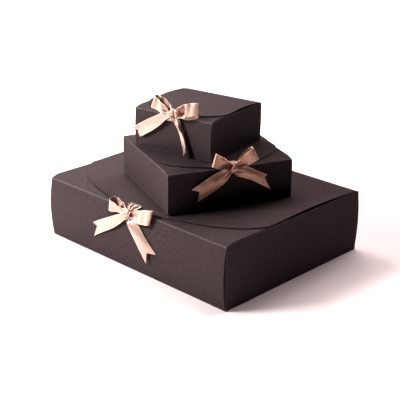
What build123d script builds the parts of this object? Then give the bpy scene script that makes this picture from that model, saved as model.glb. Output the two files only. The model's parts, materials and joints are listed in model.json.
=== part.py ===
"""A stack of three folding card gift boxes, each tied with a satin ribbon bow.

Every box is one die-cut blank: a bottom, four walls, rolled-over side linings with
locking tabs, corner tabs, an under flap and an arched lid flap with a curved front edge.
A ribbon threads the slots near the front edge and ties in a bow.
Frame: origin at the centre of the large box's underside, +Z up, bow side faces -Y.
"""
import os
from dataclasses import dataclass
from math import cos, radians, sin

from build123d import *

# Card and ribbon stock
card = 0.6
ribbon_sheet = 0.4      # ribbon thickness

# Clearances
slide_gap = 0.15        # between card faces that move past each other
fold_gap = 0.1          # between a wall's top edge and the round fold above it
stack_gap = 0.1         # between a box's underside and the lid it rests on
tab_gap = 0.1           # each side of a corner tab inside the doubled side wall

# Folds and side construction
fold_radius = 0.4       # round root of a flap, centred on its hinge axis
shoulder_run = 10.0     # length over which the flaps rise to the side walls' level
shoulder_radius = 20.0
side_shoulder_radius = 22.0
corner_drop = 1.2       # side wall's top corner, below the fold line
side_thickness = 3 * card + 2 * tab_gap
tab_share = 0.24        # corner tab's length, as a share of the depth
lock_share = 0.12       # locking tab's width, as a share of the depth
lock_place = 0.25       # locking tab's distance from the middle, as a share of the depth
lock_clearance = 0.3
lining_inset = 2.0
roll_inset = card + tab_gap
tab_margin = 0.3        # corner tab, from the bottom and from the flaps
tab_bow_share = 0.96    # bow of the corner tab's root, as a share of the wall's

# Lid edge: part of an ellipse
arc_depth_share = 0.36  # ellipse's half height, as a share of the depth
arc_width_share = 0.51  # ellipse's half width, as a share of the width
tip_inset = 0.6         # lid's front tip, behind the front face
flap_share = 0.50       # under flap's length, as a share of the depth
flap_corner = 18.0
flap_side_inset = 0.5

# Lid arch, seen from the side
crown_place = 0.14      # highest line, behind the middle, as a share of the depth
level_place = 0.24      # where the lid leaves the under flap, in front of the middle
crown_rounding = 0.5    # height that the rounding of the crown takes off
arch_radius_share = 3.0  # radius of the rounding, as a share of the depth
tip_lift = 0.5          # front tip's underside, above the fold line

# Ribbon slots
slot_width = 18.0
slot_setback = 9.0      # slots in the lid and the under flap, behind the front face
slot_drop = 8.0         # slot in the front wall, below the fold line
lid_slot = 1.4
flap_slot = 2.4
wall_slot = 1.6
flap_slot_extra = 1.0   # the under flap's slot is longer, so that the ribbon runs free

# Ribbon runs: heights are from the fold line, places from the front face
upper_run_lift = 0.7    # middle of the upper run, above the lid it crosses
upper_run_tuck = 2.0    # its end in the slot, below the fold line
upper_run_edge = (1.5, 2.6)  # its bend over the lid's tip: behind the face, above the line
upper_run_knot = (1.5, 2.0)  # its end at the knot: in front of the knot's back, above its middle
upper_run_bend = 0.8    # bend radius
lower_run_gap = 1.1     # middle of the lower run, in front of the face
lower_run_bow = 0.12    # and this share of the wall's bow further out
lower_run_top = 4.5     # its upper end, below the fold line
lower_run_behind = 1.2  # its inner bend, behind the front wall
lower_run_tuck = 3.0    # its end in the under flap's slot, below the fold line
lower_run_bend = 0.5

# Outline cutters for the flaps
cutter_base = 5.0       # below the fold line
cutter_height = 20.0
cutter_overhang = 2.0


@dataclass
class Bow:
    """Bow laid out in front view: x to the right, up measured from the fold line."""
    ribbon: float           # ribbon's width
    knot: tuple             # (x, up)
    out: float              # knot's centre, in front of the front face
    left_loop: tuple        # (x, up) of the loop's far end
    right_loop: tuple
    left_lean: float        # degrees that the loop's width leans from the vertical
    right_lean: float
    left_tail: tuple        # outline: two points at the knot, tip, notch, tip
    right_tail: tuple
    right_turn: float       # degrees that the tail is turned about the vertical


@dataclass
class GiftBox:
    name: str
    centre: tuple           # (x, y) of the box's middle
    turn: float             # degrees about the vertical
    width: float
    depth: float
    height: float           # up to the fold lines of the flaps
    side_rise: float        # side walls' top, above the fold lines
    crown: float            # lid's underside at its highest, above the side walls
    bulge: float            # outward bow of the front and back walls
    bow: Bow
    base: float = 0.0       # height of the underside, set by the stacking

    @property
    def top(self):
        """Level of the side walls' top edges."""
        return self.height + self.side_rise

    @property
    def front(self):
        return -self.depth / 2

    @property
    def back(self):
        return self.depth / 2

    def plan(self, z=0.0):
        """Horizontal plane, local x along the width and local y towards the back."""
        angle = radians(self.turn)
        origin = (*self.centre, self.base + z)
        return Plane(origin=origin, x_dir=(cos(angle), sin(angle), 0), z_dir=(0, 0, 1))

    def section(self, x=0.0):
        """Upright plane across the box: local x towards the back, local y up."""
        level = self.plan()
        return Plane(origin=level.from_local_coords((x, 0, 0)), x_dir=level.y_dir, z_dir=level.x_dir)

    def facing(self, out=0.0, x=0.0, up=0.0, turn=0.0):
        """Upright plane that faces the front, with its origin on the fold line."""
        level = self.plan()
        origin = level.from_local_coords((x, self.front - out, self.height + up))
        upright = Plane(origin=origin, x_dir=level.x_dir, z_dir=-level.y_dir)
        return upright.rotated((0, turn, 0))


boxes = [
    GiftBox(
        name="large", centre=(0, 0), turn=0, width=310, depth=246, height=79,
        side_rise=2.5, crown=3.2, bulge=4.0,
        bow=Bow(
            ribbon=17.0, knot=(0.5, -3.5), out=6.5,
            left_loop=(-36, 0), right_loop=(38, 0.5), left_lean=-18, right_lean=-8,
            left_tail=((-2, 0), (2, -9), (-67, -53), (-60, -38), (-69, -36)),
            right_tail=((6, -5), (-3, -9), (33, -57.5), (35, -45), (45.5, -43)), right_turn=0,
        ),
    ),
    GiftBox(
        name="medium", centre=(10.7, -8.4), turn=66.9, width=162, depth=159, height=48.5,
        side_rise=1.2, crown=1.8, bulge=0.8,
        bow=Bow(
            ribbon=16.0, knot=(1, 0), out=5.5,
            left_loop=(-25, 11.5), right_loop=(31.5, 14), left_lean=-22, right_lean=22,
            left_tail=((-2, 3), (1, -8), (-44, -37.5), (-41.5, -24.5), (-51.5, -21)),
            right_tail=((3, 3), (-1, -8), (51, -33), (42.5, -19), (47, -14.5)), right_turn=0,
        ),
    ),
    GiftBox(
        name="small", centre=(-1.5, -7.8), turn=9.6, width=114, depth=110, height=48,
        side_rise=1.4, crown=2.4, bulge=1.8,
        bow=Bow(
            ribbon=15.0, knot=(1, 3), out=5.5,
            left_loop=(-27, 14), right_loop=(38, 14), left_lean=-30, right_lean=0,
            left_tail=((-2, 5), (3, -4), (-48, -36), (-51.5, -27), (-64, -28)),
            right_tail=((6, 0), (-7, 0), (2, -45), (9, -41), (16, -44)), right_turn=-40,
        ),
    ),
]

knot_size = (12.0, 8.0, 12.0)
knot_round = 3.0
loop_belly = 4.5        # half of a loop's thickness at its fullest
loop_pinch = 1.0        # half of a loop's thickness inside the knot
loop_start = 4.5        # loops begin this far to each side of the knot's middle
left_tail_behind = 0.4  # tails leave the knot this far behind its middle
right_tail_behind = 1.2


def save(built, box, piece):
    """Label a finished piece and write it as its own file."""
    built.part.label = f"{box.name}_{piece}"
    export_step(built.part, f"parts/{built.part.label}.step")


def lock_spots(box):
    """Middles of one side's locking tabs, front to back."""
    return [-lock_place * box.depth, lock_place * box.depth]


def side_profile(box, inset, drop):
    """Side view of a side panel, standing on the bottom, its top edge lowered by drop."""
    rise = (box.side_rise + corner_drop) / shoulder_run
    corner = box.height - corner_drop - drop + inset * rise
    ends = [(box.front + inset, corner), (box.back - inset, corner)]
    with BuildLine() as outline:
        FilletPolyline(
            ends[0],
            (box.front + shoulder_run, box.top - drop),
            (box.back - shoulder_run, box.top - drop),
            ends[1],
            radius=side_shoulder_radius,
        )
        Polyline(ends[1], (ends[1][0], card), (ends[0][0], card), ends[0])
    return outline.edges()


def wall_profile(box, edge, out):
    """Bowed wall in section; edge is its y at the fold lines and out is -1 for the front."""
    low = card
    high = box.height - card - fold_gap
    middle = (low + high) / 2
    inner = edge - out * card
    with BuildLine() as outline:
        ThreePointArc((edge, low), (edge + out * box.bulge, middle), (edge, high))
        Line((edge, high), (inner, high))
        ThreePointArc((inner, high), (inner + out * box.bulge, middle), (inner, low))
        Line((inner, low), (edge, low))
    return outline.edges()


def flap_profile(points, radii):
    """Section of a card flap: its lower surface's points, root first, with rounded bends."""
    upper = [(y, z + card) for y, z in points]
    with BuildLine() as outline:
        FilletPolyline(*points, radius=radii)
        Line(points[-1], upper[-1])
        FilletPolyline(*reversed(upper), radius=radii[::-1])
        Line(upper[0], points[0])
    return outline.edges()


def under_flap_path(box):
    """Lower surface of the under flap: up over the shoulder, then level on the side walls."""
    rest = box.top + slide_gap
    return [
        (box.front + card / 2, box.height - card),
        (box.front + shoulder_run, rest),
        (box.front + flap_share * box.depth, rest),
    ]


def lid_path(box):
    """Lower surface of the lid flap, from its back fold over the crown to the front tip."""
    on_flap = box.top + card + 2 * slide_gap
    return [
        (box.back - card / 2, box.height - card),
        (box.back - shoulder_run, box.top + 2 * slide_gap),
        (crown_place * box.depth, box.top + box.crown + crown_rounding),
        (-level_place * box.depth, on_flap + slide_gap),
        (box.front + shoulder_run, on_flap + slide_gap / 2),
        (box.front + tip_inset, box.height + tip_lift),
    ]


def make_bottom(box):
    with BuildPart() as bottom_panel:
        with BuildSketch(box.plan()):
            Rectangle(box.width, box.depth)
            with Locations(*[
                (side * (box.width / 2 - side_thickness + card / 2), y)
                for side in (-1, 1) for y in lock_spots(box)
            ]):
                Rectangle(card + 2 * lock_clearance, lock_share * box.depth + 1, mode=Mode.SUBTRACT)
        extrude(amount=card)
    save(bottom_panel, box, "bottom_panel")


def make_front_and_back(box):
    half = box.width / 2 - card - tab_gap
    with BuildPart() as front_wall:
        with BuildSketch(box.section()):
            make_face(wall_profile(box, box.front, -1))
        extrude(amount=half, both=True)
        with BuildSketch(box.facing(up=-slot_drop)):
            SlotOverall(slot_width, wall_slot)
        extrude(amount=box.bulge + 2, both=True, mode=Mode.SUBTRACT)
    save(front_wall, box, "front_wall")

    with BuildPart() as back_wall:
        with BuildSketch(box.section()):
            make_face(wall_profile(box, box.back, 1))
        extrude(amount=half, both=True)
    save(back_wall, box, "back_wall")


def make_sides(box):
    """Outer side walls, and the linings that roll over their top edges."""
    for name, side in (("left", -1), ("right", 1)):
        outer = side * box.width / 2
        inner = outer - side * side_thickness
        with BuildPart() as wall:
            with BuildSketch(box.section(outer)):
                make_face(side_profile(box, 0, card))
            extrude(amount=-side * card)
        save(wall, box, f"{name}_wall")

        with BuildPart() as lining:
            with BuildSketch(box.section(inner)):
                make_face(side_profile(box, lining_inset, 0))
            extrude(amount=side * card)
            with BuildSketch(box.section(inner)):
                make_face(side_profile(box, roll_inset, 0))
                make_face(side_profile(box, roll_inset, card), mode=Mode.SUBTRACT)
            extrude(amount=side * side_thickness)
            with BuildSketch(box.section(inner)):
                with Locations(*[(y, card / 2 + 0.05) for y in lock_spots(box)]):
                    Rectangle(lock_share * box.depth, card - 0.1)
            extrude(amount=side * card)
        save(lining, box, f"{name}_lining")


def make_corner_tabs(box):
    """Tabs on the ends of the front and back walls, tucked inside the side walls."""
    length = tab_share * box.depth
    low = card + tab_margin
    high = box.height - corner_drop - card - tab_margin
    middle = box.height / 2 - fold_gap / 2
    for end, edge, out in (("front", box.front, -1), ("back", box.back, 1)):
        inner = edge - out * card
        tip = inner - out * length
        root_bow = out * box.bulge * tab_bow_share
        for name, side in (("left", -1), ("right", 1)):
            face = side * (box.width / 2 - card - tab_gap)
            with BuildPart() as tab:
                with BuildSketch(box.section(face)):
                    with BuildLine():
                        Polyline(
                            (inner, low), (tip, low + length / 4), (tip, high - length / 4), (inner, high),
                        )
                        ThreePointArc((inner, high), (inner + root_bow, middle), (inner, low))
                    make_face()
                extrude(amount=-side * card)
            save(tab, box, f"{end}_{name}_tab")


def make_flaps(box):
    """The under flap on the front fold and the arched lid flap on the back fold."""
    path = under_flap_path(box)
    fold = (path[0][0], path[0][1] + card / 2)
    with BuildPart() as under_flap:
        with BuildSketch(box.section()):
            make_face(flap_profile(path, [shoulder_radius]))
            with Locations(fold):
                Circle(fold_radius)
        extrude(amount=box.width / 2 - flap_side_inset, both=True)
        with BuildSketch(box.plan(box.height - cutter_base)):
            with Locations((0, box.front - flap_corner)):
                RectangleRounded(
                    box.width, 2 * (flap_share * box.depth + flap_corner), flap_corner,
                )
            with Locations((0, box.front + slot_setback)):
                SlotOverall(slot_width + flap_slot_extra, flap_slot, mode=Mode.SUBTRACT)
        extrude(amount=cutter_height, mode=Mode.INTERSECT)
    save(under_flap, box, "under_flap")

    path = lid_path(box)
    fold = (path[0][0], path[0][1] + card / 2)
    arc_depth = arc_depth_share * box.depth
    arch_radius = arch_radius_share * box.depth
    with BuildPart() as lid_flap:
        with BuildSketch(box.section()):
            make_face(flap_profile(path, [shoulder_radius, arch_radius, arch_radius, shoulder_radius]))
            with Locations(fold):
                Circle(fold_radius)
        extrude(amount=box.width / 2, both=True)
        with BuildSketch(box.plan(box.height - cutter_base)):
            with Locations((0, box.front + tip_inset + arc_depth)):
                Ellipse(arc_width_share * box.width, arc_depth)
            with Locations((0, box.front + tip_inset + arc_depth)):
                Rectangle(2 * box.width, box.depth, align=(Align.CENTER, Align.MIN))
            Rectangle(box.width, box.depth + cutter_overhang, mode=Mode.INTERSECT)
            with Locations((0, box.front + slot_setback)):
                SlotOverall(slot_width, lid_slot, mode=Mode.SUBTRACT)
        extrude(amount=cutter_height, mode=Mode.INTERSECT)
    save(lid_flap, box, "lid_flap")
    return lid_flap.part.bounding_box().max.Z


def make_ribbon_runs(box):
    """The ribbon's two runs from the knot through the slots, as flat bands."""
    half = ribbon_sheet / 2
    slot_y = box.front + slot_setback
    lid_top = box.top + 2 * card + upper_run_lift
    knot_back = box.front - box.bow.out + knot_size[1] / 2
    with BuildPart() as upper_run:
        with BuildSketch(box.section()):
            with BuildLine():
                FilletPolyline(
                    (slot_y, box.height - upper_run_tuck),
                    (slot_y, lid_top),
                    (box.front + upper_run_edge[0], box.height + upper_run_edge[1]),
                    (knot_back - upper_run_knot[0], box.height + box.bow.knot[1] + upper_run_knot[1]),
                    radius=upper_run_bend,
                )
                offset(amount=half, side=Side.BOTH)
            make_face()
        extrude(amount=box.bow.ribbon / 2, both=True)
    save(upper_run, box, "ribbon_upper_run")

    slot_z = box.height - slot_drop
    wall_out = box.front - lower_run_gap - lower_run_bow * box.bulge
    with BuildPart() as lower_run:
        with BuildSketch(box.section()):
            with BuildLine():
                FilletPolyline(
                    (wall_out, box.height - lower_run_top),
                    (wall_out, slot_z),
                    (box.front + card + lower_run_behind, slot_z),
                    (slot_y, box.height - lower_run_tuck),
                    radius=lower_run_bend,
                )
                offset(amount=half, side=Side.BOTH)
            make_face()
        extrude(amount=box.bow.ribbon / 2, both=True)
    save(lower_run, box, "ribbon_lower_run")


def teardrop(reach, inside):
    """A bow loop seen edge on, narrow at the knot; inside is how far within its outer face."""
    with BuildSketch() as drop:
        with Locations((loop_pinch, 0)):
            Circle(loop_pinch - inside)
        with Locations((reach - loop_belly, 0)):
            Circle(loop_belly - inside)
        make_hull()
    return drop.sketch


def make_loop(box, piece, end, lean):
    """One bow loop: a closed teardrop band, as wide as the ribbon."""
    bow = box.bow
    level = box.plan()
    lift = radians(lean)
    side = 1 if end[0] > bow.knot[0] else -1
    width_way = level.x_dir * sin(lift) * -1 + Vector(0, 0, cos(lift))
    reach_way = (level.x_dir * cos(lift) + Vector(0, 0, sin(lift))) * side
    start = box.facing(bow.out, bow.knot[0] + side * loop_start, bow.knot[1]).origin
    finish = box.facing(bow.out, *end).origin
    reach = (finish - start).length
    root = (start + finish - reach_way * reach) * 0.5
    side_on = Plane(origin=root, x_dir=reach_way, z_dir=width_way)
    with BuildPart() as loop:
        with BuildSketch(side_on):
            add(teardrop(reach, 0))
        extrude(amount=box.bow.ribbon / 2, both=True)
        with BuildSketch(side_on):
            add(teardrop(reach, ribbon_sheet))
        extrude(amount=bow.ribbon, both=True, mode=Mode.SUBTRACT)
    save(loop, box, piece)


def make_tail(box, piece, outline, behind, turn=0.0):
    """One ribbon tail: a thin plate with a swallow-tail end."""
    bow = box.bow
    with BuildPart() as tail:
        with BuildSketch(box.facing(bow.out - behind, bow.knot[0], 0, turn)):
            with BuildLine():
                Polyline(*[(x - bow.knot[0], up) for x, up in outline], close=True)
            make_face()
        extrude(amount=-ribbon_sheet)
    save(tail, box, piece)


def make_bow(box):
    bow = box.bow
    with BuildPart() as bow_knot:
        with BuildSketch(box.facing(bow.out - knot_size[1] / 2, *bow.knot)):
            Rectangle(knot_size[0], knot_size[2])
        extrude(amount=knot_size[1])
        fillet(bow_knot.edges(), knot_round)
    save(bow_knot, box, "bow_knot")
    make_loop(box, "bow_left_loop", bow.left_loop, bow.left_lean)
    make_loop(box, "bow_right_loop", bow.right_loop, bow.right_lean)
    make_tail(box, "bow_left_tail", bow.left_tail, left_tail_behind)
    make_tail(box, "bow_right_tail", bow.right_tail, right_tail_behind, bow.right_turn)


os.makedirs("parts", exist_ok=True)
stack_top = 0.0
for box in boxes:
    box.base = stack_top
    make_bottom(box)
    make_front_and_back(box)
    make_sides(box)
    make_corner_tabs(box)
    lid_top = make_flaps(box)
    make_ribbon_runs(box)
    make_bow(box)
    fold_y = box.back - card / 2
    fold_z = box.base + box.height - card / 2
    print(f"{box.name}: underside {box.base:.2f}, lid top {lid_top:.2f}, lid axis y {fold_y:.2f} z {fold_z:.2f}")
    stack_top = lid_top + stack_gap
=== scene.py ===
"""Stack of three folding card gift boxes with satin bows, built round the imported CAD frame.

Each box is drawn in millimetres in its own directions, which come from its CAD joints and
nodes, and is then placed in the frame in metres.
"""

import json
from math import cos, pi, radians, sin

import bmesh
import bpy
import numpy as np
from mathutils import Matrix, Vector


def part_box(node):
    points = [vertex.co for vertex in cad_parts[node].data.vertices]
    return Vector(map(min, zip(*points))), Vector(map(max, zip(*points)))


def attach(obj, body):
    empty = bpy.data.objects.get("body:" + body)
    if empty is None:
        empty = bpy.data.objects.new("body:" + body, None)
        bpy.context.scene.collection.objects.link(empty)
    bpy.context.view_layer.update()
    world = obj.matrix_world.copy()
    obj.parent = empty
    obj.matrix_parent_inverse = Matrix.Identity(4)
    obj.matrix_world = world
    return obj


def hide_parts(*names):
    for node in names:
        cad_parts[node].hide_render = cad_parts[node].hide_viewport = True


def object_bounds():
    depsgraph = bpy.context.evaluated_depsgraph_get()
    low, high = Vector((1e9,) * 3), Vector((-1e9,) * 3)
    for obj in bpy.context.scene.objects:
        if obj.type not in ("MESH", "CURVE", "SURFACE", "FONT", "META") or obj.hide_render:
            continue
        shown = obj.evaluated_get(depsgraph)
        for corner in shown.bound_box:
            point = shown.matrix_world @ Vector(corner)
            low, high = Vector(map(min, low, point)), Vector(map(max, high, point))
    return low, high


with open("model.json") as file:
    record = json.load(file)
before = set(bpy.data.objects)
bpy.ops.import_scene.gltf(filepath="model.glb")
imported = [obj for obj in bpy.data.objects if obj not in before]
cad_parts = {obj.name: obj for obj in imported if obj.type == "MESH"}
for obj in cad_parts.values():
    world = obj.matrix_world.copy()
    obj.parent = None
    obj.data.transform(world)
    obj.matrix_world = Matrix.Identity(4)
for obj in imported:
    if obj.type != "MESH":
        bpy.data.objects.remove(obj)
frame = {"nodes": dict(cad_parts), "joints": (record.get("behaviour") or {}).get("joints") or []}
cad_low, cad_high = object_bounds()

MM = 0.001
CARD = 0.6             # card thickness, mm
SATIN = 0.28           # ribbon thickness, mm
GAP = 0.15             # between card faces that move past each other, mm
OBJECT_PLACE = 3       # the Texture Coordinate node's Object output


# ---------------------------------------------------------------- boxes in the frame

def joint(name):
    return next(j for j in frame["joints"] if j["name"] == name)


class Carton:
    """One box: local x along the width, y towards the back, z up from its underside, in mm."""

    def __init__(self, name):
        self.name = name
        front = Vector(joint(f"{name}_flap_fold")["pos_m"])
        back = Vector(joint(f"{name}_lid_fold")["pos_m"])
        y_dir = (back - front).normalized()
        x_dir = y_dir.cross(Vector((0, 0, 1)))
        middle = (front + back) / 2
        middle.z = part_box(f"{name}_bottom_panel")[0].z
        axes = Matrix((x_dir, y_dir, (0, 0, 1))).transposed()
        self.place = Matrix.Translation(middle) @ axes.to_4x4() @ Matrix.Scale(MM, 4)
        self.depth = (back - front).length / MM + CARD
        self.height = (front.z - middle.z) / MM + CARD / 2
        self.width = 2 * self.extent("bottom_panel")[1].x
        self.top = self.extent("right_lining")[1].z
        self.crown = self.extent("lid_flap")[1].z - CARD
        self.bulge = -self.depth / 2 - self.extent("front_wall")[0].y
        self.front, self.back = -self.depth / 2, self.depth / 2

    def extent(self, piece):
        """Lowest and highest corners of a CAD node in the box's own directions."""
        inverse = self.place.inverted()
        spots = [inverse @ v.co for v in frame["nodes"][f"{self.name}_{piece}"].data.vertices]
        return [Vector(pick(c) for c in zip(*spots)) for pick in (min, max)]

    def world(self, points):
        matrix = np.array(self.place)
        return points @ matrix[:3, :3].T + matrix[:3, 3]

    def facing(self, points):
        """(x, out from the front face, up from the fold line) as box coordinates."""
        x, out, up = np.moveaxis(np.asarray(points, float), -1, 0)
        return np.stack([x, self.front - out, self.height + up], -1)


# ---------------------------------------------------------------- sheets

def unit(vectors):
    return vectors / np.maximum(np.linalg.norm(vectors, axis=-1, keepdims=True), 1e-12)


def steps(grid, axis):
    """Direction from each point's neighbour before to its neighbour after."""
    ahead = np.roll(grid, -1, axis)
    behind = np.roll(grid, 1, axis)
    edge = [slice(None)] * grid.ndim
    for end, array in ((-1, ahead), (0, behind)):
        edge[axis] = end
        array[tuple(edge)] = grid[tuple(edge)]
    return ahead - behind


def spread(count, length, inset=0.3):
    """0 to 1 in equal steps, with one more row just inside each end for a crisp rim."""
    rim = inset / length
    return np.concatenate([[0, rim], np.linspace(0, 1, count)[1:-1], [1 - rim, 1]])


def solid_sheet(name, box, mid, thickness, uv, fold=None):
    """A closed sheet round a grid of points in box coordinates, with rounded rims.

    uv goes into the map that the materials read, in mm. fold is the distance from a crease,
    and the rims count as creases.
    """
    rows, cols = mid.shape[:2]
    normal = unit(np.cross(steps(mid, 0), steps(mid, 1)))
    half = np.broadcast_to(np.asarray(thickness, float), (rows, cols))[..., None] / 2
    rim = (
        [(0, j) for j in range(cols)]
        + [(i, cols - 1) for i in range(1, rows)]
        + [(rows - 1, j) for j in range(cols - 2, -1, -1)]
        + [(i, 0) for i in range(rows - 2, 0, -1)]
    )
    rim_i, rim_j = np.array(rim).T
    inner = mid[np.clip(rim_i, 1, rows - 2), np.clip(rim_j, 1, cols - 2)]
    outward = unit(mid[rim_i, rim_j] - inner)
    edge = mid[rim_i, rim_j] + outward * half[rim_i, rim_j] * 0.5
    points = np.concatenate([
        (mid + normal * half).reshape(-1, 3), (mid - normal * half).reshape(-1, 3), edge,
    ])
    size = rows * cols
    flat = np.arange(size).reshape(rows, cols)
    quads = np.stack([flat[:-1, :-1], flat[1:, :-1], flat[1:, 1:], flat[:-1, 1:]], -1)
    quads = quads.reshape(-1, 4)
    ring = flat[rim_i, rim_j]
    after = np.roll(ring, -1)
    mids = 2 * size + np.arange(len(ring))
    mids_after = np.roll(mids, -1)
    faces = np.concatenate([
        quads, quads[:, ::-1] + size,
        np.stack([ring, after, mids_after, mids], -1),
        np.stack([mids, mids_after, after + size, ring + size], -1),
    ])
    mesh = bpy.data.meshes.new(name)
    mesh.from_pydata(box.world(points).tolist(), [], faces.tolist())
    layer = mesh.uv_layers.new(name="thread")
    flat_uv = uv.reshape(-1, 2)
    per_vertex = np.concatenate([flat_uv, flat_uv, flat_uv[ring]])
    corners = np.empty(len(mesh.loops), int)
    mesh.loops.foreach_get("vertex_index", corners)
    layer.data.foreach_set("uv", per_vertex[corners].ravel())
    if fold is not None:
        flat_fold = fold.ravel()
        on_rim = np.zeros(len(ring))
        attribute = mesh.attributes.new("fold", "FLOAT", "POINT")
        attribute.data.foreach_set("value", np.concatenate([flat_fold, flat_fold, on_rim]))
    mesh.shade_smooth()
    mesh.validate()
    piece = bpy.data.objects.new(name, mesh)
    bpy.context.collection.objects.link(piece)
    return piece


def finish_piece(piece, box, node, body, material):
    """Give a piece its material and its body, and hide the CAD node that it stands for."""
    piece.data.materials.append(material)
    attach(piece, f"{box.name}_{body}")
    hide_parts(f"{box.name}_{node}")


def rounded(points, radii):
    """A polyline with its corners rounded."""
    points = [np.array(p, float) for p in points]
    result = [points[0]]
    for before, corner, after, radius in zip(points, points[1:], points[2:], radii):
        a, b = before - corner, after - corner
        la, lb = np.linalg.norm(a), np.linalg.norm(b)
        a, b = a / la, b / lb
        half = np.arccos(np.clip(a @ b, -1, 1)) / 2
        reach = min(radius / np.tan(half), 0.48 * la, 0.48 * lb)
        result += [
            corner + a * reach * (1 - t) ** 2 + b * reach * t ** 2 for t in np.linspace(0, 1, 13)]
    return np.array(result + [points[-1]])


def along_path(path, count):
    """Points at equal distances along a polyline."""
    run = np.concatenate([[0], np.cumsum(np.linalg.norm(np.diff(path, axis=0), axis=1))])
    spots = spread(count, run[-1]) * run[-1]
    return np.stack([np.interp(spots, run, path[:, k]) for k in range(path.shape[1])], -1), spots


def cut_slot(piece, box, centre, size, upright):
    """Cut a round-ended slot through a sheet that stands upright or lies flat."""
    length, height = size
    turn = np.linspace(-pi / 2, pi / 2, 7)
    arc = np.stack(
        [(length - height) / 2 + height / 2 * np.cos(turn), height / 2 * np.sin(turn)], -1)
    outline = np.concatenate([arc, -arc])
    depth_axis = 1 if upright else 2
    flat = [
        np.insert(outline, depth_axis, side * CUTTER_REACH, axis=1) + centre for side in (-1, 1)]
    count = len(outline)
    mesh = bpy.data.meshes.new("cutter")
    sides = [(k, (k + 1) % count, (k + 1) % count + count, k + count) for k in range(count)]
    mesh.from_pydata(
        box.world(np.concatenate(flat)).tolist(), [],
        sides + [tuple(range(count))[::-1], tuple(range(count, 2 * count))],
    )
    cutter = bpy.data.objects.new("cutter", mesh)
    bpy.context.collection.objects.link(cutter)
    bpy.context.view_layer.update()
    work = bmesh.new()
    work.from_mesh(mesh)
    bmesh.ops.recalc_face_normals(work, faces=work.faces)
    work.to_mesh(mesh)
    work.free()
    step = piece.modifiers.new("slot", "BOOLEAN")
    step.operation, step.solver, step.object = "DIFFERENCE", "EXACT", cutter
    evaluated = piece.evaluated_get(bpy.context.evaluated_depsgraph_get())
    made = bpy.data.meshes.new_from_object(evaluated)
    piece.modifiers.clear()
    piece.data = made
    bpy.data.objects.remove(cutter)


# ---------------------------------------------------------------- card panels

# All in mm, unless a comment says that it is a share.
SHOULDER = 10.0        # from a wall to where the flaps reach their height
SHOULDER_RADIUS = 20.0  # of the bend there
CORNER_DROP = 1.2      # side walls' top edge under the creases, at the corners
CORNER_RADIUS = 22.0   # of the bends in that edge
SIDE_THICKNESS = 2.0   # side wall, corner tab and lining together
WALL_CLEAR = 0.1       # between the ends of a bowed wall and the side walls
WALL_FOOT = 0.2        # side wall's lower edge above the underside
FLAT = 9.0             # "fold" value for card that is far from any crease

ROLL_DROP = 3.0        # from the side's top edge to where the roll is over
ROLL_INSET = 0.7       # roll shorter than the side wall at each end
LINING_INSET = 2.0     # and the lining below it
LINING_FOOT = 0.05     # lining's lower edge above the bottom panel
LOCK_FOOT = 0.1        # locking tabs' lower edge above the underside
LOCK_SHARE = 0.12      # their length and their place, as shares of the depth
LOCK_PLACE = 0.25

FLAP_SHARE = 0.50      # under flap's length, as a share of the depth
FLAP_CORNER = 18.0     # radius of its free corners
FLAP_CLEAR = 0.5       # flap narrower than the box on each side
BEAD = 0.5             # radius of the rolled crease at a flap's root
BEAD_LENGTH = 1.2      # from the root to where the card is plain

TIP_INSET = 0.6        # lid's tip behind the front crease
TIP_RISE = 0.5         # lid's underside above the creases and the CAD crown
ARC_DEPTH = 0.36       # lid edge's ellipse, as shares of the depth and the width
ARC_WIDTH = 0.51
CROWN_BACK = 0.14      # ends of the lid's domed stretch behind the middle, as shares of depth
CROWN_FRONT = -0.24
CROWN_RADIUS = 3       # of the bends there, as a share of the depth
EDGE_RISE = 0.35       # lid's curved edge above the flap
EDGE_LIFT = {"large": 2.4, "medium": 0.5, "small": 0.5}  # more than that beside the bow
EDGE_PLACE = -0.15     # middle and spread of that lift, as shares of the width
EDGE_SPREAD = 0.09
EDGE_REACH = 16.0      # how far in from the edge the lift fades
EDGE_TIED = 12.0       # half the width that the ribbon holds down

SLOT_BACK = 9.0        # lid's and flap's ribbon slots behind the front crease
SLOT_DROP = 8.0        # front wall's ribbon slot under it
WALL_SLOT = (18.0, 1.6)  # length and width of each slot
FLAP_SLOT = (19.0, 2.4)
LID_SLOT = (18.0, 1.4)
CUTTER_REACH = 6.0     # of the slot's cutter to each side of the card


def roll(run):
    """Card thickness along a flap: a rolled crease at the root, then plain card."""
    return CARD + (2 * BEAD - CARD) * np.clip(1 - run / BEAD_LENGTH, 0, 1) ** 0.7


def make_wall(box, name, side, material):
    """Front (side -1) or back (side 1) wall, bowed outwards between its two creases."""
    half = box.width / 2 - CARD - WALL_CLEAR
    low, high = CARD * 0.4, box.height - CARD - GAP
    u = spread(60, 2 * half) * 2 - 1
    v = spread(26, high - low)
    x, z = np.meshgrid(u * half, low + v * (high - low))
    bow = box.bulge * (1 - ((z - (low + high) / 2) / ((high - low) / 2)) ** 2)
    y = side * (box.depth / 2 + bow - CARD / 2)
    mid = np.stack([x, y, z], -1)
    fold = np.minimum(high - z, z - low)
    piece = solid_sheet(f"{box.name}_{name}_card", box, mid, CARD, np.stack([x, z], -1), fold)
    if side < 0:
        cut_slot(piece, box, (0, box.front, box.height - SLOT_DROP), WALL_SLOT, upright=True)
    finish_piece(piece, box, name, "box", material)


def side_top(box, y):
    """Height of the side walls' top edge, lower at the two corners."""
    path = rounded(
        [(box.front, box.height - CORNER_DROP), (box.front + SHOULDER, box.top),
         (box.back - SHOULDER, box.top), (box.back, box.height - CORNER_DROP)],
        [CORNER_RADIUS, CORNER_RADIUS],
    )
    return np.interp(y, path[:, 0], path[:, 1])


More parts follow.
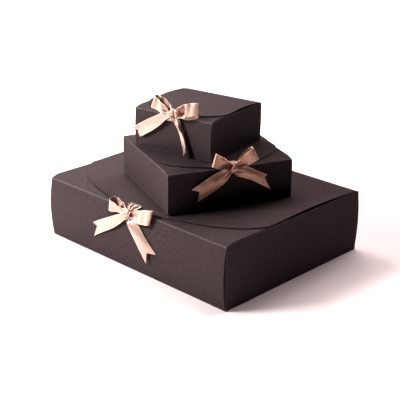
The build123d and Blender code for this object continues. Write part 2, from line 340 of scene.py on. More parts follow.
def make_side(box, name, side, material):
    """Side wall, and the lining that rolls over its top edge and locks into the bottom."""
    outer = side * (box.width / 2 - CARD / 2)
    u = spread(70, box.depth)
    v = spread(24, box.height)
    y = box.front + u * box.depth
    top = side_top(box, y) - CARD
    grid_y = np.broadcast_to(y, (len(v), len(u)))
    z = WALL_FOOT + v[:, None] * (top - WALL_FOOT)
    mid = np.stack([np.full_like(z, outer), grid_y, z], -1)
    fold = np.minimum(np.minimum(z, box.depth / 2 - abs(grid_y)), FLAT)
    grain = np.stack([grid_y, z], -1)
    piece = solid_sheet(f"{box.name}_{name}_wall_card", box, mid, CARD, grain, fold)
    finish_piece(piece, box, f"{name}_wall", "box", material)

    inner = box.width / 2 - SIDE_THICKNESS + CARD / 2
    path = rounded(
        [(box.width / 2 - CARD / 2 + 0.03, -1.0), (box.width / 2 - CARD / 2, -CARD / 2),
         (inner, -CARD / 2), (inner, -ROLL_DROP)],
        [0.55, 0.6],
    )
    over, run = along_path(path, 16)
    down = np.linspace(0, 1, 18)[1:]
    lock_at, lock_half = LOCK_PLACE * box.depth, LOCK_SHARE * box.depth / 2
    locks = np.array([
        end * lock_at + edge for end in (-1, 1)
        for edge in lock_half * np.array([-1, -0.98, 0.98, 1])])
    y = np.sort(np.concatenate([box.front + u * box.depth, locks]))
    in_lock = abs(abs(y) - lock_at) < 0.985 * lock_half
    foot = np.where(in_lock, LOCK_FOOT, CARD + LINING_FOOT)
    inset = np.concatenate([np.full(len(over), ROLL_INSET), np.full(len(down), LINING_INSET)])
    inset[len(over) - 5:len(over)] = np.linspace(ROLL_INSET + 0.2, LINING_INSET, 5)
    rows = []
    for k, gap in enumerate(inset):
        row_y = y * (1 - 2 * gap / box.depth)
        edge = side_top(box, row_y)
        if k < len(over):
            row_x, row_z = np.full_like(y, over[k, 0]), edge + over[k, 1]
        else:
            part = down[k - len(over)]
            row_x = np.full_like(y, inner)
            row_z = (edge - ROLL_DROP) * (1 - part) + foot * part
        rows.append(np.stack([side * row_x, row_y, row_z], -1))
    mid = np.array(rows)
    travel = np.concatenate([run, run[-1] + down * (box.height - ROLL_DROP)])
    grain = np.stack([mid[..., 1], np.broadcast_to(travel[:, None], mid.shape[:2])], -1)
    off_crease = np.concatenate([abs(over[:, 1] + 0.4), np.full(len(down), FLAT)])
    fold = np.broadcast_to(off_crease[:, None], mid.shape[:2])
    piece = solid_sheet(f"{box.name}_{name}_lining_card", box, mid, CARD, grain, fold)
    finish_piece(piece, box, f"{name}_lining", "box", material)


def flap_rows(length):
    """Shares of a flap's length, close together at its rolled crease."""
    near = np.array([0, 0.15, 0.35, 0.6, 0.9, 1.3, 2.0, 3.0]) / length
    return np.concatenate([near, np.linspace(4.5 / length, 1, 100)[:-1], [1 - 0.3 / length, 1]])


def make_under_flap(box, material):
    """Dust flap on the front wall's crease, flat on the side walls with two round corners."""
    rest = box.top + GAP + CARD / 2
    root = box.front + CARD / 2
    end = box.front + FLAP_SHARE * box.depth
    path = rounded(
        [(root, box.height - CARD / 2), (box.front + SHOULDER, rest), (end, rest)],
        [SHOULDER_RADIUS],
    )
    v = flap_rows(end - root)
    u = spread(60, box.width) * 2 - 1
    y = root + v * (end - root)
    into = np.clip(y - (end - FLAP_CORNER), 0, FLAP_CORNER)
    half = box.width / 2 - FLAP_CLEAR - (FLAP_CORNER - np.sqrt(FLAP_CORNER ** 2 - into ** 2))
    x = half[:, None] * u
    z = np.interp(y, path[:, 0], path[:, 1])
    grid_y = np.broadcast_to(y[:, None], x.shape)
    mid = np.stack([x, grid_y, np.broadcast_to(z[:, None], x.shape)], -1)
    run = np.broadcast_to((y - root)[:, None], x.shape)
    piece = solid_sheet(
        f"{box.name}_under_flap_card", box, mid, roll(run), np.stack([x, grid_y], -1), run)
    cut_slot(piece, box, (0, box.front + SLOT_BACK, box.height), FLAP_SLOT, upright=False)
    finish_piece(piece, box, "under_flap", "flap", material)


def make_lid(box, material):
    """Lid on the back wall's crease: slightly domed, with an elliptical front edge."""
    on_flap = box.top + CARD + 2 * GAP + CARD / 2
    root = box.back - CARD / 2
    depth = box.depth
    path = rounded(
        [(root, box.height - CARD / 2), (box.back - SHOULDER, box.top + 2 * GAP + CARD / 2),
         (CROWN_BACK * depth, box.crown + TIP_RISE + CARD / 2),
         (CROWN_FRONT * depth, on_flap + GAP), (box.front + SHOULDER, on_flap + GAP / 2),
         (box.front + TIP_INSET, box.height + TIP_RISE + CARD / 2)],
        [SHOULDER_RADIUS, CROWN_RADIUS * depth, CROWN_RADIUS * depth, SHOULDER_RADIUS],
    )[::-1]
    u = spread(120, box.width, 0.25) * 2 - 1
    x = u * box.width / 2
    arc = ARC_DEPTH * depth
    across = x / (ARC_WIDTH * box.width)
    edge = box.front + TIP_INSET + arc * (1 - np.sqrt(1 - across ** 2))
    v = flap_rows(depth)
    y = root + v[:, None] * (edge - root)
    z = np.interp(y, path[:, 0], path[:, 1])
    beside = np.exp(-((x / box.width - EDGE_PLACE) / EDGE_SPREAD) ** 2)
    lift = EDGE_RISE + EDGE_LIFT[box.name] * beside
    fade = np.clip(1 - (y - edge) / EDGE_REACH, 0, 1) ** 2
    z = z + lift * fade * np.clip(abs(x) / EDGE_TIED, 0, 1)
    grid_x = np.broadcast_to(x, y.shape)
    mid = np.stack([grid_x, y, z], -1)
    run = root - y
    grain = np.stack([grid_x, y], -1)
    piece = solid_sheet(f"{box.name}_lid_flap_card", box, mid, roll(run), grain, run)
    cut_slot(piece, box, (0, box.front + SLOT_BACK, box.height + 2), LID_SLOT, upright=False)
    finish_piece(piece, box, "lid_flap", "lid", material)


# ---------------------------------------------------------------- ribbons

PLEATS = 2.7           # pleats across a gathered end
PLEAT_DRIFT = 0.012    # turns by which they wander per mm
WAVE_PITCH = 0.45      # radians per mm of the wave along a ribbon
WAVE_FADE = 8.0        # mm over which it dies out at each end
HEM = 0.7              # width of the thicker selvedge, mm


def smooth_through(stations, count):
    """A Catmull-Rom curve through rows of numbers, resampled evenly along its middle."""
    rows = np.array([(*a, *b, cup) for a, b, cup in stations], float)
    middle = (rows[:, :3] + rows[:, 3:6]) / 2
    width = np.linalg.norm(rows[:, 3:6] - rows[:, :3], axis=1)
    gaps = np.linalg.norm(np.diff(middle, axis=0), axis=1) + 0.1 * abs(np.diff(width))
    knots = np.concatenate([[0], np.cumsum(np.sqrt(gaps) + 0.05)])
    padded = np.concatenate([[2 * rows[0] - rows[1]], rows, [2 * rows[-1] - rows[-2]]])
    ends = np.concatenate([[2 * knots[0] - knots[1]], knots, [2 * knots[-1] - knots[-2]]])
    dense = []
    for k in range(len(rows) - 1):
        t0, t1, t2, t3 = ends[k:k + 4]
        p0, p1, p2, p3 = padded[k:k + 4]
        ahead = (p2 - p1) / (t2 - t1)
        m1 = ((p1 - p0) / (t1 - t0) - (p2 - p0) / (t2 - t0) + ahead) * (t2 - t1)
        m2 = (ahead - (p3 - p1) / (t3 - t1) + (p3 - p2) / (t3 - t2)) * (t2 - t1)
        for t in np.linspace(0, 1, 24, endpoint=False):
            dense.append(
                (2 * t ** 3 - 3 * t ** 2 + 1) * p1 + (t ** 3 - 2 * t ** 2 + t) * m1
                + (3 * t ** 2 - 2 * t ** 3) * p2 + (t ** 3 - t ** 2) * m2)
    dense = np.array(dense + [rows[-1]])
    middle = (dense[:, :3] + dense[:, 3:6]) / 2
    run = np.concatenate([[0], np.cumsum(np.linalg.norm(np.diff(middle, axis=0), axis=1))])
    spots = spread(count, run[-1], 0.15) * run[-1]
    return np.stack([np.interp(spots, run, dense[:, k]) for k in range(7)], -1), spots


def make_strip(box, node, body, stations, width, material, side=1, cut=None, ends=(9.0, 0.0),
               pleat=1.0, wave=0.6, rows=90):
    """A ribbon lofted between two edges.

    Each station is (first edge, second edge, cup); cup is how far the middle of the width
    stands out, and side turns it over. ends are the lengths over which the pleats at either
    end fade. cut is the swallow tail's place across the width and its depth.
    """
    line, run = smooth_through(stations, rows)
    s = spread(17, width, 0.15)
    total = run[-1]
    first, second = box.facing(line[:, :3]), box.facing(line[:, 3:6])
    if cut:
        place, deep = cut
        share = deep / total * np.where(s < place, s / place, (1 - s) / (1 - place))
    else:
        share = np.zeros_like(s)
    middle = (first + second) / 2
    across = second - first
    normal = unit(np.cross(steps(middle, 0), across)) * side
    stack = np.concatenate([first, second, normal, line[:, 6:7]], 1)
    at = run[:, None] * (1 - share[None, :] * (run[:, None] / total) ** 3)
    picked = np.stack([np.interp(at, run, stack[:, k]) for k in range(10)], -1)
    first, second, normal = picked[..., :3], picked[..., 3:6], unit(picked[..., 6:9])
    cup = picked[..., 9]
    gather = sum(
        np.exp(-(from_end / reach) ** 2)
        for from_end, reach in zip((at, total - at), ends) if reach)
    seed = sum(map(ord, node)) % 7
    ripple = pleat * gather * np.sin(2 * pi * (PLEATS * s + 0.13 * seed + PLEAT_DRIFT * at))
    away = np.clip(at / WAVE_FADE, 0, 1) * np.clip((total - at) / WAVE_FADE, 0, 1)
    ripple = ripple + wave * away * np.sin(WAVE_PITCH * at + 1.5 * s + seed)
    lift = cup * 4 * s * (1 - s) + ripple
    mid = first + (second - first) * s[None, :, None] + normal * lift[..., None]
    thick = SATIN * (1 + 0.5 * (np.minimum(s, 1 - s) * width < HEM))
    uv = np.stack([np.broadcast_to(s * width, at.shape), at], -1)
    piece = solid_sheet(f"{box.name}_{node}_satin", box, mid, thick, uv)
    finish_piece(piece, box, node, body, material)


def make_knot(box, centre, size, tilt, width, material):
    """The ribbon's wrap round the middle of the bow, puffed and pleated.

    size is its width, depth and height, and tilt its lean in degrees.
    """
    wide, deep, high = size
    angle = np.radians(np.linspace(-165, 165, 60))
    s = np.linspace(-1, 1, 34)
    turn, across = np.meshgrid(angle, s, indexing="ij")
    body = 1 - 0.42 * abs(across) ** 3.2
    ridge = np.cos(2 * pi * (1.55 * across + 0.28 * np.sin(turn) + 0.1))
    crease = 0.42 * ridge + 0.22 * np.cos(2 * pi * (2.9 * across - 0.4 * turn / pi))
    reach = body * (1 + 0.05 * np.cos(2 * turn))
    out = (deep / 2 * reach + crease * 0.8) * np.cos(turn)
    up = (high / 2 * reach + crease) * np.sin(turn)
    x = wide / 2 * across * (0.86 + 0.14 * np.cos(turn)) + 1.1 * np.sin(turn)
    lean = radians(tilt)
    local = np.stack([
        centre[0] + x * cos(lean) - up * sin(lean),
        centre[1] + out,
        centre[2] + x * sin(lean) + up * cos(lean),
    ], -1)
    run = (turn - turn[0, 0]) * (high + deep) / 4
    uv = np.stack([(across + 1) / 2 * width, run], -1)
    piece = solid_sheet(f"{box.name}_bow_knot_satin", box, box.facing(local), SATIN, uv)
    finish_piece(piece, box, "bow_knot", "lid", material)


CHAMPAGNE = ((0.59, 0.41, 0.34), (0.705, 0.515, 0.44))  # darker and lighter threads
# The same ribbon with painted shade: darker and more orange, for the medium bow.
SHADED_CHAMPAGNE = ((0.58, 0.335, 0.25), (0.72, 0.45, 0.355))

# Every strip's stations: (first edge, second edge, cup). An edge is (x, out from the front
# face, up from the fold line), in mm. A knot is (centre, size, tilt), as make_knot says, and
# a cut is (place across the width, depth in mm).
BOWS = {
    "large": dict(
        dye=CHAMPAGNE, wave=0.10,
        width=17.0, knot=((-0.5, 6.8, -3.8), (10.5, 8.0, 9.6), 8),
        left_loop=[
            ((-2, 6, -1.5), (-2, 6, -5.5), -1.5), ((-7, 6.2, 0.3), (-7, 5.4, -6.2), -2.4),
            ((-13, 6.8, 1.2), (-13.5, 5.0, -6.6), -1.2), ((-21, 8.8, 4.2), (-24, 6.0, -8.2), 0.2),
            ((-28.8, 9.2, 8), (-35.2, 6.6, -8.9), 0.4), ((-31.4, 6.2, 8.8), (-37.6, 4.6, -8.3), 0),
            ((-31.6, 1.2, 8.7), (-34.4, 2.2, -7.8), 0.2),
            ((-27.2, -1.4, 7.4), (-26, 2.6, -7.2), 0.6),
            ((-20.2, -1.9, 4.9), (-17.5, 2.6, -6.8), 0.7), ((-11.8, 0.6, 2.6), (-10, 3.0, -6), 0),
            ((-3, 4.6, 0), (-3, 4.6, -5), -0.5),
        ],
        right_loop=[
            ((2.5, 6.6, -1.5), (2.5, 6.6, -5.5), -1.5), ((8.5, 7.8, 1.2), (8, 7.8, -6.2), -4.2),
            ((13, 8.6, 4.4), (12.4, 9, -8.2), -3.6), ((18.8, 8.9, 6.9), (18.6, 9, -9.4), -0.9),
            ((29.8, 7.9, 9.5), (28, 8.1, -9.2), 0.4), ((38.0, 6.9, 11.2), (34.0, 6.9, -8), 0.1),
            ((40.4, 4.6, 11.3), (36.2, 4.6, -7.7), 0), ((38.4, 2.5, 10.8), (34.4, 2.5, -8), 0.2),
            ((30, 2.2, 8.4), (28, 2.8, -8.6), 0.6), ((19, 2, 5), (18, 2.8, -8), 0.8),
            ((10, 3, 1.2), (9.5, 3.3, -6.4), 0), ((3, 4.8, -1), (3, 4.8, -5.5), -0.5),
        ],
        left_tail=[
            ((-1, 5.4, -3.5), (0, 5.4, -7), -1), ((-7, 6.5, -4.7), (-4.2, 6.5, -11), -1.2),
            ((-13.6, 7, -7), (-9, 7, -15.4), -0.4), ((-27.5, 7, -13.8), (-20.5, 7.2, -25), 0.9),
            ((-41.3, 6.2, -20.9), (-34, 6.6, -34), 0.9), ((-55, 5.4, -28), (-50, 5.8, -43.2), 0.4),
            ((-67.5, 4.8, -35), (-66.2, 5, -53), 0),
        ],
        left_cut=(0.38, 9.3),
        right_tail=[
            ((-1, 5.4, -6), (3.5, 5.2, -5.5), -1.0), ((-2.2, 7.0, -11.2), (6.8, 5.7, -9), -1.6),
            ((0.2, 8.2, -17), (15.6, 5.0, -14), -0.3), ((9.8, 8.6, -28.7), (27.1, 5.2, -25), 1.1),
            ((21, 8.5, -43), (36.8, 5, -34.4), 1.2), ((32, 8, -57), (46.1, 4.9, -42.6), 0.3),
        ],
        right_side=1, right_cut=(0.52, 8.4),
    ),
    "medium": dict(
        # This bow's ribbon colour carries painted shade.
        dye=SHADED_CHAMPAGNE, wave=0.12,
        width=16.0, knot=((0.3, 5.9, 0.6), (8.2, 7.2, 11.0), -12),
        left_loop=[
            ((0, 5, 4.5), (-0.5, 5, 1), -1), ((-4.5, 6.4, 8.6), (-5, 6.6, 3.4), -2.6),
            ((-11.5, 6.6, 13.8), (-11.5, 7, 2.4), -2.8), ((-17, 6, 17.4), (-18.6, 6.4, 1.8), -0.9),
            ((-19.9, 6.4, 19.7), (-24.5, 6.4, 4.7), 0), ((-21.8, 4.2, 20.7), (-26.8, 4.2, 5.3), 0),
            ((-20.0, 2.0, 20.0), (-24.8, 2.0, 5.3), 0.2), ((-14.5, 2, 16.6), (-16.5, 2, 3.4), 0.7),
            ((-6, 2.6, 10), (-7, 2.6, 2.8), 0), ((0, 4.4, 4.5), (-0.5, 4.4, 1), -0.5),
        ],
        right_loop=[
            ((1, 5, 4), (1.5, 5, -0.5), -1), ((5, 6.6, 8.6), (4.6, 6.6, 0.8), -2.8),
            ((9.6, 7.1, 13.2), (11, 7.1, 1.2), -2.6), ((15.5, 6.8, 18.4), (19, 6.8, 3), -0.3),
            ((23.2, 6.5, 22.5), (30.6, 6.5, 7.2), 0.2), ((25.2, 4.2, 23.4), (32.8, 4.2, 8), 0),
            ((23.3, 2.0, 22.6), (30.8, 2.0, 7.3), 0.2), ((14.5, 2.1, 17.4), (18, 2.1, 3), 0.7),
            ((6, 2.9, 9), (6.5, 2.9, 0.8), 0), ((1, 4.5, 4), (1.5, 4.5, -0.5), -0.5),
        ],
        left_tail=[
            ((0, 4.6, 0), (1.5, 4.6, -4), -1), ((-6, 5.2, 1.2), (-3, 5.6, -6.8), -1.2),
            ((-15, 5, -0.2), (-9.8, 6.2, -15), 0.2), ((-26, 5, -5.2), (-19.3, 6.6, -21.4), 2.4),
            ((-34.8, 4.6, -9.8), (-27.8, 5.8, -26.6), 2.0),
            ((-52.4, 3.8, -20.3), (-44.6, 4.2, -36.2), 0.1),
        ],
        left_cut=(0.44, 7.0),
        right_tail=[
            ((1, 4.4, 1), (0, 4.4, -3.5), -1), ((8, 4.2, 1.8), (4.5, 4.8, -9.4), -0.6),
            ((19, 3.4, -0.5), (13, 5, -12.8), 1.2), ((31, 2.8, -6.2), (26, 4.8, -18.4), 1.4),
            ((46.6, 2.4, -14.4), (50.7, 4.2, -32.9), 0.1),
        ],
        right_side=-1, right_cut=(0.3, 6.7),
    ),
    "small": dict(
        dye=CHAMPAGNE, wave=0.10,
        width=15.0, knot=((3.6, 5.8, 4.8), (8.8, 7.2, 9.4), 14),
        left_loop=[
            ((0, 5.2, 6), (-0.5, 5.2, 2), -1), ((-4.5, 6.8, 11), (-4.5, 6.8, 1.8), -1.6),
            ((-11.5, 7, 15.6), (-12.5, 6.8, 2.6), -0.4), ((-17.5, 6.2, 18.8), (-21, 6.2, 5), 0.6),
            ((-20.8, 6.2, 21.1), (-26.6, 6.2, 7.0), 0.2), ((-22.6, 4.1, 22.2), (-28.8, 4.1, 8), 0),
            ((-20.4, 2.0, 22.3), (-26.8, 2.0, 7.8), 0.3), ((-15, 1.8, 21), (-19, 2, 6), 0.8),
            ((-9, 1.2, 18.4), (-11, 2, 4), 0.8), ((-1.6, 2.2, 13), (-3, 2.6, 3), 0),
            ((2.5, 4.4, 8), (0, 4.4, 2.5), -0.5),
        ],
        right_loop=[
            ((4, 5.2, 7), (4, 5.2, 3.5), -1), ((9.0, 7.8, 9.0), (9.0, 7.6, 2.6), 0.4),
            ((12.2, 9.2, 12.4), (11.8, 9.4, 1.6), -1), ((14, 9, 14), (13.4, 9.4, 1.4), -8),
            ((17.6, 8.8, 16.6), (17, 9.4, 1.8), -9.5), ((21.6, 8.6, 18.8), (21.2, 9.2, 2.6), -4.5),
            ((25, 8.0, 20.2), (24.6, 8.6, 3.8), -0.2), ((31, 6.9, 21.6), (31, 7.2, 6.0), 0.6),
            ((36.9, 5.4, 22.8), (37.7, 5.4, 8.2), 0),
            ((39.2, 4.1, 23.2), (40.4, 4.1, 7.6), 0), ((38.6, 2.7, 21.6), (39.6, 2.7, 5.4), 0.2),
            ((30, 1.4, 17.8), (30, 1.8, 0.6), 0.8), ((19, 1.5, 13.0), (19, 1.9, -2.0), 0.8),
            ((9.5, 3, 8.5), (9.5, 3, 1.4), 0), ((4, 4.6, 7), (4, 4.6, 3.5), -0.5),
        ],
        left_tail=[
            ((2, 5, 3.5), (3, 5, 0), -1), ((-6, 5.8, 4.6), (-3.5, 5.8, -2.8), -1.2),
            ((-14.5, 6.2, 1.2), (-9.8, 6.4, -8.8), -0.3), ((-24, 6, -4), (-17.8, 6.4, -15.8), 0.8),
            ((-33.7, 5.6, -9.3), (-27, 6, -22.6), 0.9), ((-47, 5, -17.2), (-37.8, 5.2, -29.4), 0.5),
            ((-62.1, 4.8, -26.7), (-46.2, 5, -34.1), 0.1),
        ],
        left_cut=(0.42, 6.9),
        right_tail=[
            ((4.2, 5, 1), (8, 5, 1.5), -0.8), ((4.6, 5.6, -3.5), (11.4, 4.8, -0.6), 0.6),
            ((8.2, 6.2, -9), (15.0, 4.2, -7), 3), ((12.2, 6.3, -15), (16.6, 2.9, -17.6), 5.2),
            ((16, 6.2, -25), (18.8, 2.9, -28.2), 5.8), ((18.8, 5.6, -38), (21.2, 2.9, -38.4), 5.8),
            ((19.4, 5, -46), (23, 2.9, -46), 5.2),
        ],
        right_side=1, right_cut=(0.5, 6.0),
    ),
}


def make_bow(box):
    """Knot, loops, tails, and the two runs that tie the lid to the front wall."""
    bow = BOWS[box.name]
    width = bow["width"]
    material = satin_material(f"satin_champagne_{box.name}", width, *bow["dye"])
    make_knot(box, *bow["knot"], width, material)
    make_strip(box, "bow_left_loop", "lid", bow["left_loop"], width, material,
               ends=(8, 5), rows=130)
    make_strip(box, "bow_right_loop", "lid", bow["right_loop"], width, material,
               side=-1, ends=(8, 5), rows=130)
    make_strip(box, "bow_left_tail", "lid", bow["left_tail"], width, material, cut=bow["left_cut"],
               wave=bow["wave"])
    make_strip(box, "bow_right_tail", "lid", bow["right_tail"], width, material,
               side=bow["right_side"], cut=bow["right_cut"], wave=bow["wave"])
    x, _, up = bow["knot"][0]
    half = width / 2
    wall_bow = 0.12 * box.bulge
    under_knot = min(up, -1)
    make_strip(box, "ribbon_upper_run", "lid", [
        ((-half, -9.0, -2.0), (half, -9.0, -2.0), 0),
        ((-half, -8.9, 2.6), (half, -8.9, 2.6), 0.2),
        ((-half, -7.8, 4.9), (half + 0.6, -7.8, 4.9), 0.6),
        ((-half + 1.6, -3.6, 5.2), (half + 1.2, -3.4, 3.4), 1.2),
        ((x - 4.6, 0.8, 5.0), (x + 6.4, 0.8, 1.2), 1.4),
        ((x - 2.6, 4.4, up + 3.4), (x + 3.4, 4.4, up + 1.2), 0.8),
    ], width, material, ends=(0, 11), pleat=1.5, rows=70)
    make_strip(box, "ribbon_lower_run", "box", [
        ((x - 3.4, 3.2, under_knot), (x + 3.4, 3.2, under_knot), 0.3),
        ((-5.5, 1.9 + wall_bow, -5.2), (5.5, 1.9 + wall_bow, -5.2), 0.3),
        ((-half, 1.1 + wall_bow, -7.6), (half, 1.1 + wall_bow, -7.6), 0),
        ((-half, -1.4, -8.0), (half, -1.4, -8.0), 0),
        ((-half, -5.5, -5.6), (half, -5.5, -5.6), 0),
        ((-half, -9.0, -3.0), (half, -9.0, -3.0), 0),
    ], width, material, ends=(4, 0), pleat=0.4, rows=40)


# ---------------------------------------------------------------- materials

class Graph:
    """Adds shader nodes to a material; an input is a value or another node's output.

    A node's inputs are given by name, or by number as _0, _1 and so on.
    """

    def __init__(self, name):
        self.material = bpy.data.materials.new(name)
        self.material.use_nodes = True
        self.tree = self.material.node_tree
        self.shader = self.tree.nodes["Principled BSDF"]

    def add(self, kind, output=0, settings=(), **inputs):
        node = self.tree.nodes.new(kind)
        for key, value in dict(settings).items():
            setattr(node, key, value)
        for key, value in inputs.items():
            socket = int(key[1:]) if key.startswith("_") else key.replace("_", " ")
            self.put(node.inputs[socket], value)
        return node.outputs[output]

    def put(self, socket, value):
        if isinstance(value, bpy.types.NodeSocket):
            self.tree.links.new(value, socket)
        else:
            socket.default_value = value

    def math(self, operation, a, b=0.0):
        return self.add("ShaderNodeMath", settings={"operation": operation}, _0=a, _1=b)

    def weighted(self, *parts):
        """Outputs added together, each given with its weight."""
        terms = [self.math("MULTIPLY", part, weight) for part, weight in parts]
        total = terms[0]
        for term in terms[1:]:
            total = self.math("ADD", total, term)
        return total

    def scaled(self, vector, x, y, z=1.0):
        return self.add("ShaderNodeVectorMath", settings={"operation": "MULTIPLY"},
                        _0=vector, _1=(x, y, z))

    def noise(self, vector, scale, detail):
        return self.add("ShaderNodeTexNoise", Vector=vector, Scale=scale, Detail=detail,
                        Roughness=0.55)

    def mix(self, factor, a, b):
        return self.add("ShaderNodeMix", 2, {"data_type": "RGBA"}, _0=factor, _6=a, _7=b)

    def ramp(self, value, low, high, out_low=0.0, out_high=1.0):
        return self.add("ShaderNodeMapRange", settings={"interpolation_type": "SMOOTHSTEP"},
                        _0=value, _1=low, _2=high, _3=out_low, _4=out_high)

    def surface(self, **sockets):
        for key, value in sockets.items():
            self.put(self.shader.inputs[key.replace("_", " ")], value)
        return self.material


CARD_DARK = (0.060, 0.044, 0.046, 1)      # the grain's two tones
CARD_LIGHT = (0.094, 0.0715, 0.0735, 1)
CARD_CLOUD = (0.068, 0.053, 0.056, 1)     # broad faint patches
CARD_WEAR_AND_HIGHLIGHT = (0.17, 0.135, 0.138, 1)       # along creases and rims: wear, and a painted highlight
# Ribbon edges: the selvedge's paler tone plus a painted highlight.
SELVEDGE_AND_HIGHLIGHT = (0.86, 0.66, 0.58, 1)
RIB_PITCH = 0.42       # of the satin's weft, mm


def card_material(name, mapped):
    """Dyed board with a fine grain, paler where it is folded, from wear and a painted highlight.

    mapped is true for a piece made here, and false for a CAD node, which has no map.
    """
    g = Graph(name)
    if mapped:
        vector = g.add("ShaderNodeUVMap", settings={"uv_map": "thread"})
    else:
        vector = g.scaled(g.add("ShaderNodeTexCoord", OBJECT_PLACE), 1 / MM, 1 / MM, 1 / MM)
    laid = g.noise(g.scaled(vector, 1.0, 0.16), 1.0, 2.0)
    chain = g.noise(g.scaled(vector, 0.2, 1.0), 1.0, 2.0)
    grain = g.noise(vector, 0.75, 2.0)
    cloud = g.noise(vector, 0.022, 4.0)
    pulp = g.noise(vector, 5.0, 2.0)
    tone = g.weighted((laid, 0.3), (chain, 0.25), (grain, 0.45))
    colour = g.mix(g.ramp(tone, 0.42, 0.58), CARD_DARK, CARD_LIGHT)
    colour = g.mix(g.ramp(cloud, 0.35, 0.65, 0.0, 0.35), colour, CARD_CLOUD)
    if mapped:
        fold = g.add("ShaderNodeAttribute", 2, {"attribute_name": "fold"})
        patchy = g.ramp(g.noise(vector, 0.35, 3.0), 0.3, 0.62, 0.25, 0.9)
        # Paler in patches near creases and rims: wear, plus a painted highlight where a fold
        # catches light.
        wear_and_highlight = g.math("MULTIPLY", g.ramp(fold, 1.1, 0.1), patchy)
        colour = g.mix(wear_and_highlight, colour, CARD_WEAR_AND_HIGHLIGHT)
    relief = g.weighted((tone, 2.0), (pulp, 0.35))
    bump = g.add("ShaderNodeBump", Strength=0.45, Distance=0.0002, Height=relief)
    rough = g.ramp(tone, 0.3, 0.7, 0.82, 0.70)
    return g.surface(Base_Color=colour, Roughness=rough, Normal=bump, Specular_IOR_Level=0.10)


def satin_material(name, width, dark, light):
    """Satin ribbon: lengthwise sheen threads, fine weft ribs and a firm selvedge, paler at both
    edges with a painted highlight.
    """
    g = Graph(name)
    vector = g.add("ShaderNodeUVMap", settings={"uv_map": "thread"})
    axes = g.tree.nodes.new("ShaderNodeSeparateXYZ")
    g.put(axes.inputs[0], vector)
    across, run = axes.outputs[0], axes.outputs[1]
    threads = g.noise(g.scaled(vector, 1.0, 0.05), 3.2, 2.0)
    slub = g.noise(g.scaled(vector, 0.25, 1.0), 0.9, 3.0)
    off_middle = g.math("ABSOLUTE", g.math("SUBTRACT", across, width / 2))
    from_edge = g.math("SUBTRACT", width / 2, off_middle)
    selvedge = g.ramp(from_edge, 0.95, 0.65)
    tone = g.weighted((threads, 0.6), (slub, 0.4))
    colour = g.mix(g.ramp(tone, 0.35, 0.65), (*dark, 1), (*light, 1))
    # Paler edges: the selvedge's own tone plus a painted highlight.
    colour = g.mix(g.math("MULTIPLY", selvedge, 0.8), colour, SELVEDGE_AND_HIGHLIGHT)
    ribs = g.math("SINE", g.math("MULTIPLY", run, 2 * pi / RIB_PITCH))
    relief = g.weighted((ribs, 0.16), (threads, 0.5), (selvedge, 0.8))
    bump = g.add("ShaderNodeBump", Strength=0.35, Distance=0.00012, Height=relief)
    rough = g.ramp(tone, 0.3, 0.7, 0.42, 0.33)
    along = g.add("ShaderNodeTangent", settings={"direction_type": "UV_MAP", "uv_map": "thread"})
    return g.surface(
        Base_Color=colour, Roughness=rough, Normal=bump, Tangent=along, Anisotropic=0.6,
        Metallic=0.6, Sheen_Weight=0.6, Sheen_Roughness=0.4, Sheen_Tint=(1.0, 0.95, 0.92, 1),
        Specular_IOR_Level=0.75,
    )


# ---------------------------------------------------------------- camera, floor and light

WHITE = (1.0, 1.0, 1.0, 1)
PAPER_RADIUS = 0.62    # lengths from here on are in metres
PAPER_GLOW = (0.36, 0.58)  # radii between which the paper turns to plain white
PAPER_DROP = 0.0004    # paper under the stack, and the ground under the paper
GROUND_DROP = 0.002
FAR = 28.0             # radius of the ground
PANEL_SIZE = 0.35
PANEL_COLOUR = (1.0, 0.985, 0.97)
SUN_SPREAD = 35        # degrees
SUN_COLOUR = (1.0, 0.88, 0.88)


def make_camera():
    """The photograph's camera, as solved from the corners of the three boxes."""
    yaw, pitch, tilt = radians(43.846), radians(21.675), radians(-0.726)
    ahead = Vector((-sin(yaw) * cos(pitch), cos(yaw) * cos(pitch), -sin(pitch)))
    level = Vector((cos(yaw), sin(yaw), 0))
    down = ahead.cross(level)
    right = level * cos(tilt) + down * sin(tilt)
    down = down * cos(tilt) - level * sin(tilt)
    data = bpy.data.cameras.new("camera")
    data.sensor_width, data.lens = 36.0, 90.06
    data.clip_start, data.clip_end = 0.05, 60
    camera = bpy.data.objects.new("camera", data)
    axes = Matrix((right, -down, -ahead)).transposed().to_4x4()
    camera.matrix_world = Matrix.Translation((0.8285, -0.8680, 0.5344)) @ axes
    bpy.context.collection.objects.link(camera)
    bpy.context.scene.camera = camera


def stage_mesh(name, shape, material):
    """A staged surface from a bmesh, which it frees."""
    mesh = bpy.data.meshes.new(name)
    shape.to_mesh(mesh)
    shape.free()
    mesh.materials.append(material)
    item = bpy.data.objects.new(name, mesh)
    bpy.context.collection.objects.link(item)
    return item


def disc(radius, z):
    shape = bmesh.new()
    bmesh.ops.create_circle(shape, cap_ends=True, segments=96, radius=radius,
                            matrix=Matrix.Translation((0, 0, z)))
    return shape


def paper_material():
    """White paper that turns to plain white towards its rim, to meet the ground beyond it."""
    g = Graph("floor_white")
    place = g.add("ShaderNodeTexCoord", OBJECT_PLACE)
    uneven = g.ramp(g.noise(place, 3.0, 3.0), 0.3, 0.7)
    away = g.add("ShaderNodeVectorMath", 1, {"operation": "LENGTH"}, _0=place)
    return g.surface(
        Base_Color=g.mix(uneven, (0.905, 0.845, 0.85, 1), (0.92, 0.86, 0.865, 1)),
        Roughness=0.8, Emission_Color=WHITE, Emission_Strength=g.ramp(away, *PAPER_GLOW))


def plain_white(name):
    return Graph(name).surface(
        Base_Color=(0, 0, 0, 1), Roughness=1.0, Specular_IOR_Level=0.0,
        Emission_Color=WHITE, Emission_Strength=1.0)


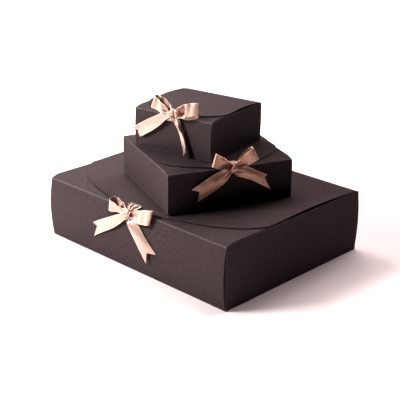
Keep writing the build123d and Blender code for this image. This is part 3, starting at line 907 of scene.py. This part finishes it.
def make_floor():
    """A sheet of white paper, on a ground and under a sky that only the camera sees."""
    z = cad_low.z - PAPER_DROP
    stage_mesh("floor", disc(PAPER_RADIUS, z), paper_material())
    ground = stage_mesh("ground", disc(FAR, z - GROUND_DROP), plain_white("ground_white"))
    sky = bmesh.new()
    bmesh.ops.create_uvsphere(sky, u_segments=48, v_segments=24, radius=FAR - 1)
    backdrop = stage_mesh("backdrop", sky, plain_white("backdrop_white"))
    for item in (ground, backdrop):
        item.visible_diffuse = item.visible_glossy = item.visible_shadow = False


def aimed_light(name, kind, away):
    """A new light that shines against the direction given."""
    light = bpy.data.objects.new(name, bpy.data.lights.new(name, kind))
    light.rotation_mode = "QUATERNION"
    light.rotation_quaternion = away.to_track_quat("Z", "Y")
    bpy.context.collection.objects.link(light)
    return light


def make_sun(name, away, strength):
    data = aimed_light(name, "SUN", Vector(away)).data
    data.energy, data.angle, data.color = strength, radians(SUN_SPREAD), SUN_COLOUR


def make_panel(name, place, level):
    """A square soft box aimed at the stack; level is its light there, as a sun's strength."""
    away = Vector(place) - Vector((0, 0, 0.05))
    light = aimed_light(name, "AREA", away)
    light.location = place
    data = light.data
    data.energy, data.size, data.color = pi * away.length_squared * level, PANEL_SIZE, PANEL_COLOUR


def make_light():
    """Soft boxes on the left and in front, and a broad pink-white light from behind."""
    make_panel("left_panel", (-0.60, 0.15, 0.75), 1.3)
    make_panel("front_panel", (-0.48, -0.85, 0.72), 3.1)
    make_panel("low_panel", (-0.55, -0.20, 0.35), 0.5)
    make_panel("corner_panel", (-0.70, -0.50, 0.50), 0.5)
    make_sun("back_light", (0.05, 0.87, 0.50), 1.8)
    make_sun("top_light", (-0.41, 0.41, 0.82), 1.2)
    world = bpy.data.worlds.new("studio")
    world.use_nodes = True
    world.node_tree.nodes["Background"].inputs["Strength"].default_value = 0.0
    scene = bpy.context.scene
    scene.world = world
    scene.view_settings.view_transform = "Standard"
    scene.view_settings.look = "High Contrast"


# ---------------------------------------------------------------- build

# Panels seen only inside: the CAD node itself is the visible piece.
INSIDE = ("bottom_panel", "front_left_tab", "front_right_tab", "back_left_tab", "back_right_tab")

make_camera()
make_floor()
make_light()

card = card_material("card_charcoal", mapped=True)
card_inner = card_material("card_charcoal_inner", mapped=False)
for box in [Carton(name) for name in ("large", "medium", "small")]:
    make_wall(box, "front_wall", -1, card)
    make_wall(box, "back_wall", 1, card)
    make_side(box, "left", -1, card)
    make_side(box, "right", 1, card)
    make_under_flap(box, card)
    make_lid(box, card)
    make_bow(box)
    for part in INSIDE:
        node = frame["nodes"][f"{box.name}_{part}"]
        if not node.material_slots:
            node.data.materials.append(card_inner)
        node.material_slots[0].material = card_inner
